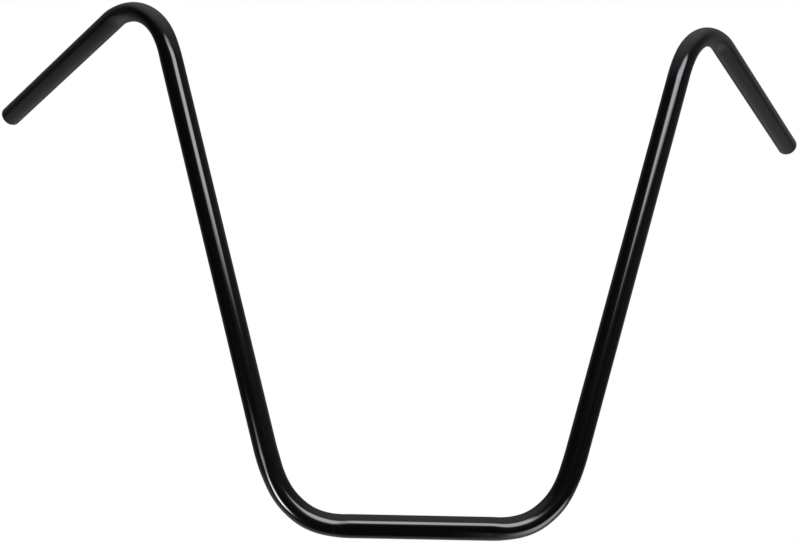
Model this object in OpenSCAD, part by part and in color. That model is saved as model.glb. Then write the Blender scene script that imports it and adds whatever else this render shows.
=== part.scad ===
// Ape hanger handlebar: one round steel tube, cold bent four times and painted black.
// The tube is drawn as a bender works it: straight runs and bends, one after the other, from
// the middle of the clamping section out to each cut end. Lengths in millimetres, angles in
// degrees. The origin is on the tube's centreline in the middle of the clamping section, with
// +X along that section, +Z up between the risers and +Y back towards the rider.

/* [Tube] */
// Outside diameter of the tube, which the clamps, grips and controls fit round
tube_d = 22.2; // [20:0.1:32]
// Thickness of the tube's wall
wall = 2.2; // [1.6:0.1:3.6]
// Rounding of the outer edge at both cut ends
rim_outer_r = 1; // [0.2:0.1:1]
// Rounding of the inner edge at both cut ends
rim_inner_r = 0.4; // [0.1:0.1:0.5]

/* [Bends] */
// Radius of every bend to the tube's centreline, set by the bending die
bend_r = 75; // [45:1:110]
// Angle that each lower bend turns the tube up from the clamping section
low_bend_angle = 74.5; // [60:0.5:90]

/* [Straight runs] */
// Clamping section between the two lower bends
clamp_len = 141; // [80:1:260]
// Each riser, between its lower and its upper bend
riser_len = 408; // [120:1:520]
// Each grip section, from the upper bend to the cut end
grip_len = 243; // [140:1:320]

/* [Direction of the grips] */
// Angle that the grips sweep back from the clamping section's direction, seen from above
grip_sweep = 55.5; // [20:0.5:75]
// Angle that the grips droop below level
grip_droop = 12; // [0:0.5:30]

/* [Hidden] */
$fn = 72;
rim_step = 15;

// The bar is laid out in metres and drawn in millimetres, so that the faces where its runs and
// bends meet lie on each other to well within a thousandth of a millimetre.
mm = 0.001;

// Unit vectors along the right riser and the right grip, and from the lower bend to its inside
riser_dir = [cos(low_bend_angle), 0, sin(low_bend_angle)];
grip_dir = [cos(grip_droop) * cos(grip_sweep), cos(grip_droop) * sin(grip_sweep), -sin(grip_droop)];
inside_dir = [-sin(low_bend_angle), 0, cos(low_bend_angle)];

// Angle of the upper bend, and how far the tube is rolled in the bender before it is made
high_bend_angle = acos(riser_dir * grip_dir);
high_bend_roll = atan2(-grip_dir[1], grip_dir * inside_dir);

// A straight run of round bar up +Z, with what follows it on its end
module run(d, length) {
    cylinder(d = d, h = length);
    translate([0, 0, length]) children();
}

// A bend that starts up +Z and turns towards +X once the bar is rolled, with what follows it on
// its end. It is revolved a little too far and trimmed there, so that its end face lies exactly
// on the next run's.
module bend(d, angle, roll) {
    excess = 1;
    r = bend_r * mm;
    reach = r + d;
    rotate([0, 0, roll]) translate([r, 0, 0]) {
        difference() {
            rotate([90, 0, 180]) rotate_extrude(angle = angle + excess) translate([r, 0]) circle(d = d);
            rotate([0, angle, 0]) translate([-reach, -d, 0]) cube([reach, 2 * d, reach]);
        }
        rotate([0, angle, 0]) translate([-r, 0, 0]) children();
    }
}

// The last run, with a quarter round of radius edge at its end: above zero it rounds the bar's
// own edge off, and below zero it flares the bar out
module end_run(d, length, edge) {
    centre = [d / 2 - edge, length - abs(edge)];
    arc = [for (a = [0 : rim_step : 90]) centre + [edge * cos(a), abs(edge) * sin(a)]];
    rotate_extrude() polygon(concat([[0, 0], [d / 2, 0]], arc, [[0, length]]));
}

// The whole bent bar as solid round stock of diameter d
module bent_bar(d, edge) {
    half = clamp_len / 2 * mm;
    translate([-half, 0, 0]) rotate([0, 90, 0]) run(d, 2 * half);
    for (side = [0, 1]) mirror([side, 0, 0])
        translate([half, 0, 0]) rotate([0, 90, 0])
            bend(d, low_bend_angle, 180)
                run(d, riser_len * mm)
                    bend(d, high_bend_angle, high_bend_roll)
                        end_run(d, grip_len * mm, edge);
}

// The handlebar: the bent bar less its bore, which runs from one cut end to the other
module handlebar() {
    color([0.03, 0.03, 0.035]) scale(1 / mm) difference() {
        bent_bar(tube_d * mm, rim_outer_r * mm);
        bent_bar((tube_d - 2 * wall) * mm, -rim_inner_r * mm);
    }
}

handlebar();
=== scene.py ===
import math
import bmesh
import bpy
from mathutils import Matrix, Vector


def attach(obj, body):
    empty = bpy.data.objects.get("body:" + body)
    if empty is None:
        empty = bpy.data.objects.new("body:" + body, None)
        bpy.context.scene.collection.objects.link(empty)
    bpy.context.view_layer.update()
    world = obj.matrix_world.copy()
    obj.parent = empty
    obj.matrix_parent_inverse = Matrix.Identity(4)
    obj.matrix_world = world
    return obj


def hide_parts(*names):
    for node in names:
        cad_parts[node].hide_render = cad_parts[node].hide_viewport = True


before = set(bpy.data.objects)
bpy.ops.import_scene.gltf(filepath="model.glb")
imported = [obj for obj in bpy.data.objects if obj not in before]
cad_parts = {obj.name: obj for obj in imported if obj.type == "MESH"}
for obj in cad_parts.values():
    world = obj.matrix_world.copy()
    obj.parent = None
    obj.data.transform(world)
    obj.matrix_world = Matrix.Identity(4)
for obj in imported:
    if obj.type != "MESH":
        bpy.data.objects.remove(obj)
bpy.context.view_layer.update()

# Camera. The bar is seen from the front, from just under the level of its clamping section and
# a little left of its middle, through a moderately long lens.
camera_aim = Vector((-0.0237, 0, 0.2423))
camera_distance = 1.4465
camera_azimuth = math.radians(-4.23)
camera_elevation = math.radians(-10.83)
camera_roll = math.radians(1.03)
sensor_width_mm = 36
lens_mm = 67.69

camera_data = bpy.data.cameras.new("camera")
camera_data.sensor_width = sensor_width_mm
camera_data.lens = lens_mm
camera = bpy.data.objects.new("camera", camera_data)
bpy.context.scene.collection.objects.link(camera)
bpy.context.scene.camera = camera
camera.matrix_world = (
    Matrix.Translation(camera_aim)
    @ Matrix.Rotation(camera_azimuth, 4, "Z")
    @ Matrix.Rotation(math.pi / 2 - camera_elevation, 4, "X")
    @ Matrix.Rotation(camera_roll, 4, "Z")
    @ Matrix.Translation((0, 0, camera_distance))
)

# Bent tube. The whole handlebar is one round steel tube, bent cold on one die: up at each end
# of the clamping section, then back into each grip. It is hollow, and both cut ends are open
# and rounded off.
tube_r = 0.0111
wall = 0.0022
rim_outer_r = 0.001
rim_inner_r = 0.0004
bend_r = 0.075
clamp_len = 0.141
riser_len = 0.408
grip_len = 0.243
low_bend_angle = math.radians(74.5)
grip_sweep = math.radians(55.5)
grip_droop = math.radians(12)
clamp_dir = Vector((1, 0, 0))
riser_dir = Vector((math.cos(low_bend_angle), 0, math.sin(low_bend_angle)))
grip_dir = Vector((
    math.cos(grip_droop) * math.cos(grip_sweep),
    math.cos(grip_droop) * math.sin(grip_sweep),
    -math.sin(grip_droop),
))

# A bend presses the tube narrower in its own plane. Each lower bend also draws the tube's outer
# side flat, and each upper bend presses it a little wider across. The bent tube lies a little
# outside the die's line early in the bend, and inside that line late in it. The narrowing, the
# widening and the places are shares: of the tube's width, and of the bend's length.
press_lead = 0.006
press_ramp = 0.014
low_press = {"narrow": 0.04, "wide": 0, "flat_side": 0.0028}
high_press = {"narrow": 0.12, "wide": 0.02, "flat_side": 0}
low_set = {"out": 0.0009, "out_at": 0.35, "back": 0.0011, "back_at": 0.88, "spread": 0.3}
high_set = {"out": 0.0013, "out_at": 0.28, "back": 0.0011, "back_at": 0.76, "spread": 0.3}

# How finely the tube is drawn: sides round it, rings along it, and the distances from the cut
# end at which each grip has a ring
tube_sides = 96
low_bend_steps = 36
high_bend_steps = 46
near_bend = 0.012
near_bend_steps = 4
past_low_bend = 0.03
past_low_bend_steps = 8
grip_rings = (0.08, 0.03, 0.012, 0.003, 0)
rim_segments = 5
on_the_join = 1e-6
off_the_middle = 1e-7
mirror_join = 1e-5


def ring_in(geometry):
    """The vertices that an operator gives back, and the edges that join them into a ring."""
    verts = [g for g in geometry if isinstance(g, bmesh.types.BMVert)]
    edges = [g for g in geometry if isinstance(g, bmesh.types.BMEdge)]
    return verts, [e for e in edges if e.verts[0] in verts and e.verts[1] in verts]


def middle_of(verts):
    """The point on the tube's centreline in the middle of a ring."""
    return sum((v.co for v in verts), Vector()) / len(verts)


def draw_straight(bm, rings, direction, length, steps=1):
    """Lengthens the tube by a straight run, and adds each new ring to the list."""
    for _ in range(steps):
        verts, edges = ring_in(bmesh.ops.extrude_edge_only(bm, edges=rings[-1][1])["geom"])
        bmesh.ops.translate(bm, verts=verts, vec=direction * length / steps)
        rings.append((verts, edges))


def draw_bend(bm, rings, direction, next_direction, steps):
    """Wraps the tube round the die towards its next direction. Returns the die's centre and axis."""
    axis = direction.cross(next_direction).normalized()
    centre = middle_of(rings[-1][0]) + axis.cross(direction) * bend_r
    angle = direction.angle(next_direction)
    for _ in range(steps):
        new = bmesh.ops.spin(
            bm, geom=rings[-1][1], cent=centre, axis=axis, dvec=(0, 0, 0), angle=angle / steps,
            steps=1, use_merge=False, use_normal_flip=False, use_duplicate=False,
        )["geom_last"]
        rings.append(ring_in(new))
    return centre, axis


def smooth_step(value):
    """Rises smoothly from 0 to 1 as the value does."""
    value = min(max(value, 0), 1)
    return value * value * (3 - 2 * value)


def bump(value, middle, spread):
    """Rises smoothly to 1 where the value is at the middle, and falls to 0 a spread away."""
    return smooth_step(1 - abs(value - middle) / spread)


def press_bend(bm, rings, centre, axis, direction, next_direction, press, bend_set):
    """Presses the rings in and near a bend, and sets them off the die's line."""
    start = centre - axis.cross(direction) * bend_r
    end = centre - axis.cross(next_direction) * bend_r
    length = bend_r * direction.angle(next_direction)
    for verts, _ in rings:
        middle = middle_of(verts)
        before = (start - middle).dot(direction)
        after = (middle - end).dot(next_direction)
        turned = (middle - centre).normalized()
        if before > on_the_join:
            along, inwards = -before, axis.cross(direction)
        elif after > on_the_join:
            along, inwards = length + after, axis.cross(next_direction)
        else:
            along, inwards = bend_r * turned.angle((start - centre).normalized(), 0), -turned
        amount = smooth_step((along + press_lead) / (press_lead + press_ramp))
        amount *= smooth_step((length - along + press_lead) / (press_lead + press_ramp))
        lean = press["flat_side"] * amount
        radius = (verts[0].co - middle).length
        to_ring = Matrix((inwards, axis, inwards.cross(axis))).to_4x4() @ Matrix.Translation(-middle)
        for side in (1, -1):
            half = [v for v in verts if (v.co - middle).dot(inwards) * side > off_the_middle]
            across = 1 - press["narrow"] * amount + side * lean / radius
            bmesh.ops.scale(bm, verts=half, vec=(across, 1, 1), space=to_ring)
        bmesh.ops.scale(bm, verts=verts, vec=(1, 1 + press["wide"] * amount, 1), space=to_ring)
        off = bend_set["out"] * bump(along / length, bend_set["out_at"], bend_set["spread"])
        off -= bend_set["back"] * bump(along / length, bend_set["back_at"], bend_set["spread"])
        bmesh.ops.translate(bm, verts=verts, vec=-inwards * (lean + off))


def draw_skin(bm, radius):
    """Draws the right half of the tube's skin at one radius. Returns its rings in order."""
    facing_x = Matrix.Rotation(math.pi / 2, 4, "Y")
    first = bmesh.ops.create_circle(bm, segments=tube_sides, radius=radius, matrix=facing_x)["verts"]
    rings = [(first, list({e for v in first for e in v.link_edges}))]
    draw_straight(bm, rings, clamp_dir, clamp_len / 2 - near_bend)
    draw_straight(bm, rings, clamp_dir, near_bend, near_bend_steps)
    low_bend = draw_bend(bm, rings, clamp_dir, riser_dir, low_bend_steps)
    draw_straight(bm, rings, riser_dir, past_low_bend, past_low_bend_steps)
    press_bend(bm, rings[1:], *low_bend, clamp_dir, riser_dir, low_press, low_set)
    draw_straight(bm, rings, riser_dir, riser_len - past_low_bend - near_bend)
    before_bend = len(rings) - 1
    draw_straight(bm, rings, riser_dir, near_bend, near_bend_steps)
    high_bend = draw_bend(bm, rings, riser_dir, grip_dir, high_bend_steps)
    draw_straight(bm, rings, grip_dir, near_bend, near_bend_steps)
    press_bend(bm, rings[before_bend:], *high_bend, riser_dir, grip_dir, high_press, high_set)
    left = grip_len - near_bend
    for reach in grip_rings:
        draw_straight(bm, rings, grip_dir, left - reach)
        left = reach
    return rings


tube_bm = bmesh.new()
# How far down the bore each point lies, from 0 on the skin and the rims to 1 where the paint has
# ended, which is this far from the cut end
paint_end = 0.03
bore_depth = tube_bm.verts.layers.float.new("bore_depth")
outer_rings = draw_skin(tube_bm, tube_r)
bore_rings = draw_skin(tube_bm, tube_r - wall)
bmesh.ops.bridge_loops(tube_bm, edges=outer_rings[-1][1] + bore_rings[-1][1])
end_point = middle_of(bore_rings[-1][0])
for verts, _ in bore_rings:
    for v in verts:
        v[bore_depth] = smooth_step((middle_of(verts) - end_point).length / paint_end)
for rim, size in ((outer_rings[-1][1], rim_outer_r), (bore_rings[-1][1], rim_inner_r)):
    bmesh.ops.bevel(
        tube_bm, geom=rim, offset=size, offset_type="OFFSET", affect="EDGES",
        segments=rim_segments, profile=0.5, clamp_overlap=True, material=-1,
    )
right_half = tube_bm.verts[:] + tube_bm.edges[:] + tube_bm.faces[:]
bmesh.ops.mirror(tube_bm, geom=right_half, axis="X", merge_dist=mirror_join)
bmesh.ops.remove_doubles(tube_bm, verts=tube_bm.verts[:], dist=on_the_join)
bmesh.ops.recalc_face_normals(tube_bm, faces=tube_bm.faces[:])
for face in tube_bm.faces:
    face.smooth = True
tube_mesh = bpy.data.meshes.new("bent_tube")
tube_bm.to_mesh(tube_mesh)
tube_bm.free()
tube = bpy.data.objects.new("bent_tube", tube_mesh)
bpy.context.scene.collection.objects.link(tube)

# Gloss black paint over the whole tube, sprayed and baked: a black coat under clear, with the
# faint ripple that a sprayed coat dries with. It thins out into bare steel down the bore.
paint_black = (0.002, 0.002, 0.0021, 1)
steel_grey = (0.19, 0.18, 0.17, 1)
black_coat_gloss = 0.06
black_coat_roughness = (0.3, 0.42)
clear_coat_roughness = 0.06
paint_ior = 1.5
blotch_scale = 35
ripple_scale = 420
ripple_height = 0.00003
ripple_strength = 0.25
paint = bpy.data.materials.new("gloss_black_paint")
paint.use_nodes = True
paint_tree = paint.node_tree
shader = paint_tree.nodes["Principled BSDF"]
shader.inputs["IOR"].default_value = paint_ior
shader.inputs["Specular IOR Level"].default_value = black_coat_gloss
shader.inputs["Coat Weight"].default_value = 1.0
shader.inputs["Coat Roughness"].default_value = clear_coat_roughness
shader.inputs["Coat IOR"].default_value = paint_ior


def noise(tree, scale):
    """A noise pattern on the tube, with features about 1/scale metres across."""
    node = tree.nodes.new("ShaderNodeTexNoise")
    node.inputs["Scale"].default_value = scale
    place = tree.nodes.new("ShaderNodeTexCoord")
    tree.links.new(place.outputs["Object"], node.inputs["Vector"])
    return node.outputs["Fac"]


def ranged(tree, value, low, high, start=0.0, end=1.0, way="LINEAR"):
    """The value, brought from the range start to end into the range low to high."""
    node = tree.nodes.new("ShaderNodeMapRange")
    node.interpolation_type = way
    node.inputs["From Min"].default_value = start
    node.inputs["From Max"].default_value = end
    node.inputs["To Min"].default_value = low
    node.inputs["To Max"].default_value = high
    tree.links.new(value, node.inputs["Value"])
    return node.outputs["Result"]


def give(tree, value, socket):
    """Sets a socket to a plain value, or links it to what another node puts out."""
    if isinstance(value, bpy.types.NodeSocket):
        tree.links.new(value, socket)
    else:
        socket.default_value = value


def mixed(tree, factor, first, second, data_type="RGBA", socket_type="RGBA"):
    """What lies between two colours, or two plain values, by a factor from 0 to 1."""
    node = tree.nodes.new("ShaderNodeMix")
    node.data_type = data_type
    tree.links.new(factor, node.inputs["Factor"])
    for name, value in (("A", first), ("B", second)):
        give(tree, value, next(s for s in node.inputs if s.name == name and s.type == socket_type))
    return next(s for s in node.outputs if s.type == socket_type)


bore_mask = paint_tree.nodes.new("ShaderNodeAttribute")
bore_mask.attribute_name = "bore_depth"
bare = bore_mask.outputs["Fac"]
paint_tree.links.new(mixed(paint_tree, bare, paint_black, steel_grey), shader.inputs["Base Color"])
blotches = ranged(paint_tree, noise(paint_tree, blotch_scale), *black_coat_roughness)
paint_tree.links.new(blotches, shader.inputs["Roughness"])
paint_tree.links.new(bare, shader.inputs["Metallic"])
ripple = paint_tree.nodes.new("ShaderNodeBump")
ripple.inputs["Distance"].default_value = ripple_height
ripple.inputs["Strength"].default_value = ripple_strength
paint_tree.links.new(noise(paint_tree, ripple_scale), ripple.inputs["Height"])
paint_tree.links.new(ripple.outputs["Normal"], shader.inputs["Normal"])
tube_mesh.materials.append(paint)

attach(tube, "root")
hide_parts("handlebar")

# Paper. A wide sheet of matt white paper lies far below the bar and takes its shadow. It is
# paler to the camera than its light makes it, and the paint doesn't mirror it.
floor_level = -0.3
floor_reach = 6
paper_white = (0.82, 0.82, 0.82, 1)
paper_roughness = 0.9
paper_glow_in_camera = 0.4
floor_bm = bmesh.new()
at_floor_level = Matrix.Translation((0, 0, floor_level))
bmesh.ops.create_grid(floor_bm, x_segments=1, y_segments=1, size=floor_reach, matrix=at_floor_level)
floor_mesh = bpy.data.meshes.new("floor")
floor_bm.to_mesh(floor_mesh)
floor_bm.free()
floor = bpy.data.objects.new("floor", floor_mesh)
floor.visible_glossy = False
bpy.context.scene.collection.objects.link(floor)
paper = bpy.data.materials.new("white_paper")
paper.use_nodes = True
paper_tree = paper.node_tree
shader = paper_tree.nodes["Principled BSDF"]
shader.inputs["Base Color"].default_value = paper_white
shader.inputs["Roughness"].default_value = paper_roughness
shader.inputs["Specular IOR Level"].default_value = 0
shader.inputs["Emission Color"].default_value = (1, 1, 1, 1)
in_camera = paper_tree.nodes.new("ShaderNodeLightPath").outputs["Is Camera Ray"]
paper_glow = ranged(paper_tree, in_camera, 0, paper_glow_in_camera)
paper_tree.links.new(paper_glow, shader.inputs["Emission Strength"])
floor_mesh.materials.append(paper)

# Room. It is white to the camera and lights the bar a little from every side. What the paint
# mirrors of it is nearly dark, apart from the ceiling, the far end, the paper at that end and the
# right side.
room_light = 0.3
dark_room = 0.015
# Their levels, and the ramps of the direction's X, Y and Z over which each comes in
ceiling = (0.55, ("Z", 0.55, 1.0), ("Y", 1.2, -0.3))
far_end = (0.09, ("Y", 0.1, 0.6))
far_paper = (0.22, ("Y", 0.0, 0.35), ("Z", -0.1, -0.45))
right_side = (0.1, ("X", 0.45, 0.9), ("Z", -0.3, 0.1))
world = bpy.data.worlds.new("studio")
bpy.context.scene.world = world
world.use_nodes = True
room_tree = world.node_tree
direction = room_tree.nodes.new("ShaderNodeTexCoord").outputs["Generated"]


def arithmetic(tree, operation, *values):
    """The sum or the product of values."""
    total = values[0]
    for value in values[1:]:
        node = tree.nodes.new("ShaderNodeMath")
        node.operation = operation
        give(tree, total, node.inputs[0])
        give(tree, value, node.inputs[1])
        total = node.outputs["Value"]
    return total


def faded(tree, level, vector, ramps):
    """The level, times a smooth rise from 0 to 1 between two values of an axis of the vector, for
    each of the ramps."""
    split = tree.nodes.new("ShaderNodeSeparateXYZ")
    tree.links.new(vector, split.inputs["Vector"])
    for axis, start, end in ramps:
        rise = ranged(tree, split.outputs[axis], 0, 1, start, end, "SMOOTHSTEP")
        level = arithmetic(tree, "MULTIPLY", level, rise)
    return level


in_gloss = dark_room
for level, *ramps in (ceiling, far_end, far_paper, right_side):
    in_gloss = arithmetic(room_tree, "ADD", in_gloss, faded(room_tree, level, direction, ramps))
rays = room_tree.nodes.new("ShaderNodeLightPath")
strength = room_light
for ray, level in (("Is Glossy Ray", in_gloss), ("Is Transmission Ray", 1.0), ("Is Camera Ray", 1.0)):
    strength = mixed(room_tree, rays.outputs[ray], strength, level, "FLOAT", "VALUE")
background = room_tree.nodes["Background"]
background.inputs["Color"].default_value = (1, 1, 1, 1)
room_tree.links.new(strength, background.inputs["Strength"])

# Lamps. A large softbox stands in front of the bar, to the right of its middle and high up,
# leans a little and fades out towards all its edges. A small upright light on the left and a
# flat one on the right lie low, and only the paint's gloss shows those two.
lamp_white = (0.95, 0.97, 1.04)


def soft_light(name, place, aim, upright, size, brightness, fades):
    """A flat softbox that faces the aim, with its height along the upright. Its brightness is that
    of its own surface. It fades over a share of its height at its lower and its upper end, and over
    a share of its width at each side. Returns the lamp."""
    data = bpy.data.lights.new(name, "AREA")
    data.shape = "RECTANGLE"
    data.size, data.size_y = size
    data.energy = brightness * math.pi * size[0] * size[1]
    data.color = lamp_white
    data.use_nodes = True
    tree = data.node_tree
    across = tree.nodes.new("ShaderNodeNewGeometry").outputs["Parametric"]
    low, high, side = fades
    ramps = (("Y", 0, low), ("Y", 1, 1 - high), ("X", 0, side), ("X", 1, 1 - side))
    tree.links.new(faded(tree, 1.0, across, ramps), tree.nodes["Emission"].inputs["Strength"])
    lamp = bpy.data.objects.new(name, data)
    back = (Vector(place) - Vector(aim)).normalized()
    right = Vector(upright).cross(back).normalized()
    turn = Matrix((right, back.cross(right), back)).transposed().to_4x4()
    lamp.matrix_world = Matrix.Translation(place) @ turn
    lamp.visible_camera = False
    bpy.context.scene.collection.objects.link(lamp)
    return lamp


soft_light(
    "softbox", place=(0.29, -1.4, 1.31), aim=(0.29, 0, 1.31), upright=(-0.22, 0, 1),
    size=(1.31, 1.46), brightness=8.8, fades=(0.25, 0.44, 0.25),
)
low_left = soft_light(
    "low_left", place=(-0.389, -0.175, -0.095), aim=(-0.136, -0.01, 0.029),
    upright=(0.03, -0.1, 0.38), size=(0.17, 0.4), brightness=24, fades=(0.25, 0.75, 0.3),
)
low_right = soft_light(
    "low_right", place=(0.48, -0.1, -0.28), aim=(0.48, -0.1, 0), upright=(0, 1, 0),
    size=(0.84, 0.6), brightness=5.2, fades=(0.45, 0.45, 0.35),
)
low_left.visible_diffuse = low_right.visible_diffuse = False

bpy.context.scene.view_settings.view_transform = "Standard"
